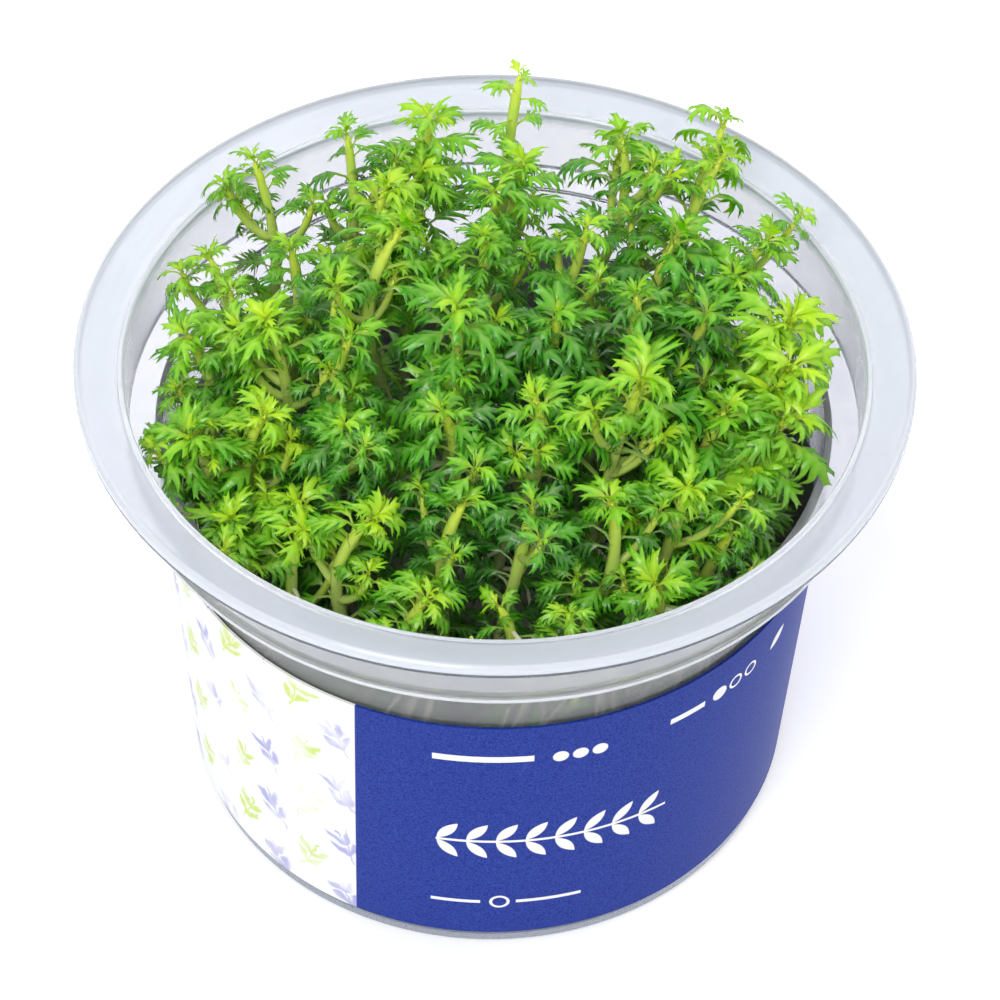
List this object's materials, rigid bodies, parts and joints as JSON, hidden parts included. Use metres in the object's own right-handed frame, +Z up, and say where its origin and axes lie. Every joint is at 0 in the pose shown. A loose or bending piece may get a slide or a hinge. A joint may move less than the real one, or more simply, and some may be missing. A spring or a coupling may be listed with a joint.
{
  "type": "tissue culture american featherfoil plantlets in their cup",
  "caption": "Round translucent tissue-culture cup of feathery aquarium plantlets standing in nutrient gel, with a plain paper label round its tapered wall.",
  "frame": {"origin": "on the cup's axis, at the plane that its foot ring stands on", "axes": "+Z up along the cup's axis, out of its mouth; -Y towards the front, where the camera stood; +X to the right seen from there; the label's seam is at +Y"},
  "size_m": [0.1, 0.1, 0.0837],
  "materials": {
    "polypropylene": "clear, slightly milky moulded polypropylene",
    "paper": "printed paper, blue with a white panel",
    "nutrient_gel": "cloudy, wet agar gel",
    "foliage": "fresh green leaf, slightly glossy, with a paler midrib and stem"
  },
  "bodies": {
    "root": {"cup": "polypropylene", "label": "paper", "gel": "nutrient_gel", "plantlet_01": "foliage", "plantlet_02": "foliage", "plantlet_03": "foliage", "plantlet_04": "foliage", "plantlet_05": "foliage", "plantlet_06": "foliage", "plantlet_07": "foliage", "plantlet_08": "foliage", "plantlet_09": "foliage", "plantlet_10": "foliage", "plantlet_11": "foliage", "plantlet_12": "foliage", "plantlet_13": "foliage", "plantlet_14": "foliage", "plantlet_15": "foliage", "plantlet_16": "foliage", "plantlet_17": "foliage", "plantlet_18": "foliage", "plantlet_19": "foliage", "plantlet_20": "foliage", "plantlet_21": "foliage", "plantlet_22": "foliage", "plantlet_23": "foliage", "plantlet_24": "foliage", "plantlet_25": "foliage", "plantlet_26": "foliage", "plantlet_27": "foliage", "plantlet_28": "foliage", "plantlet_29": "foliage", "plantlet_30": "foliage", "plantlet_31": "foliage", "plantlet_32": "foliage", "plantlet_33": "foliage", "plantlet_34": "foliage", "plantlet_35": "foliage", "plantlet_36": "foliage", "plantlet_37": "foliage", "plantlet_38": "foliage", "plantlet_39": "foliage", "plantlet_40": "foliage", "plantlet_41": "foliage", "plantlet_42": "foliage", "plantlet_43": "foliage"}
  },
  "joints": []
}
